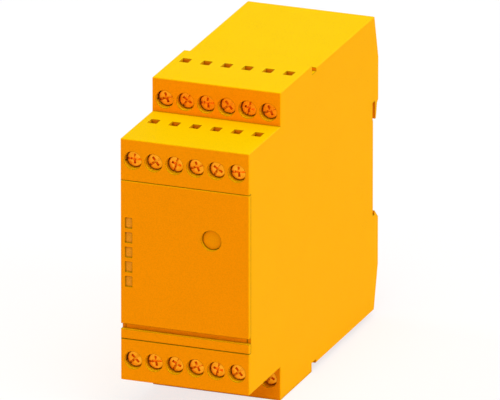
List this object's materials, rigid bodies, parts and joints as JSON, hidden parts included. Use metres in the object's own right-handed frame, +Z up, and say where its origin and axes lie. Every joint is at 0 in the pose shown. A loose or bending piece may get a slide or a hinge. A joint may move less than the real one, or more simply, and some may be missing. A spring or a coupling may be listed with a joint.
{
  "type": "safety relay",
  "caption": "Rail-mounted safety relay: a narrow stepped casing with screw terminals at the top and bottom, status lights and a reset button.",
  "frame": {"origin": "middle of the flat face that seats on the mounting rail, at mid height and mid width", "axes": "+Y out of the rail seat towards the rail, so the front faces -Y; +X across the casing to the right as seen from the front; +Z up"},
  "size_m": [0.045, 0.1211, 0.1072],
  "materials": {
    "casing": "fine spark texture",
    "button_cap": "fine satin",
    "lens": "tinted, polished",
    "insulator": "moulded",
    "screw_steel": "yellow passivated",
    "cage_steel": "zinc plated",
    "contact_metal": "tin plated",
    "circuit_board": "solder mask",
    "relay_case": "moulded",
    "potting": "potted",
    "can_sleeve": "shrunk sleeve",
    "component_body": "moulded",
    "varistor_coat": "dipped",
    "led_body": "clear",
    "spring_steel": "drawn wire",
    "slider_plastic": "moulded"
  },
  "bodies": {
    "casing": {"bridge_rectifier": "component_body", "button_spring": "spring_steel", "clamp_cages_lower_front": "cage_steel", "clamp_cages_lower_rear": "cage_steel", "clamp_cages_upper_front": "cage_steel", "clamp_cages_upper_rear": "cage_steel", "contact_bars_lower_front": "contact_metal", "contact_bars_lower_rear": "contact_metal", "contact_bars_upper_front": "contact_metal", "contact_bars_upper_rear": "contact_metal", "controller_chip_1": "component_body", "controller_chip_2": "component_body", "force_guided_relay_1": "relay_case", "force_guided_relay_2": "relay_case", "front_board": "circuit_board", "front_cover": "casing", "front_header_left": "component_body", "front_header_right": "component_body", "housing": "casing", "input_fuse": "component_body", "light_guide": "lens", "lower_header": "component_body", "lower_terminal_board": "circuit_board", "mains_transformer": "potting", "power_board": "circuit_board", "relay_board": "circuit_board", "reset_switch": "component_body", "side_cover": "casing", "slider_spring_left": "spring_steel", "slider_spring_right": "spring_steel", "smoothing_capacitor_1": "can_sleeve", "smoothing_capacitor_2": "can_sleeve", "status_led_1": "led_body", "status_led_2": "led_body", "status_led_3": "led_body", "status_led_4": "led_body", "status_led_5": "led_body", "terminal_block_lower_front": "insulator", "terminal_block_lower_rear": "insulator", "terminal_block_upper_front": "insulator", "terminal_block_upper_rear": "insulator", "terminal_screws_lower_front": "screw_steel", "terminal_screws_lower_rear": "screw_steel", "terminal_screws_upper_front": "screw_steel", "terminal_screws_upper_rear": "screw_steel", "upper_header": "component_body", "upper_terminal_board": "circuit_board", "varistor": "varistor_coat"},
    "button": {"reset_button": "button_cap", "switch_plunger": "component_body"},
    "slider": {"rail_slider": "slider_plastic"}
  },
  "joints": [
    {"name": "reset_press", "type": "slide", "parent": "casing", "child": "button", "axis": [0, 1, 0], "range_m": [0, 0.0012], "stiffness_N_per_m": 900, "springref_m": -0.0015, "deforming": ["button_spring"]},
    {"name": "rail_slider_lift", "type": "slide", "parent": "casing", "child": "slider", "axis": [0, 0, 1], "range_m": [0, 0.0045], "stiffness_N_per_m": 1500, "springref_m": -0.004, "deforming": ["slider_spring_left", "slider_spring_right"]}
  ]
}
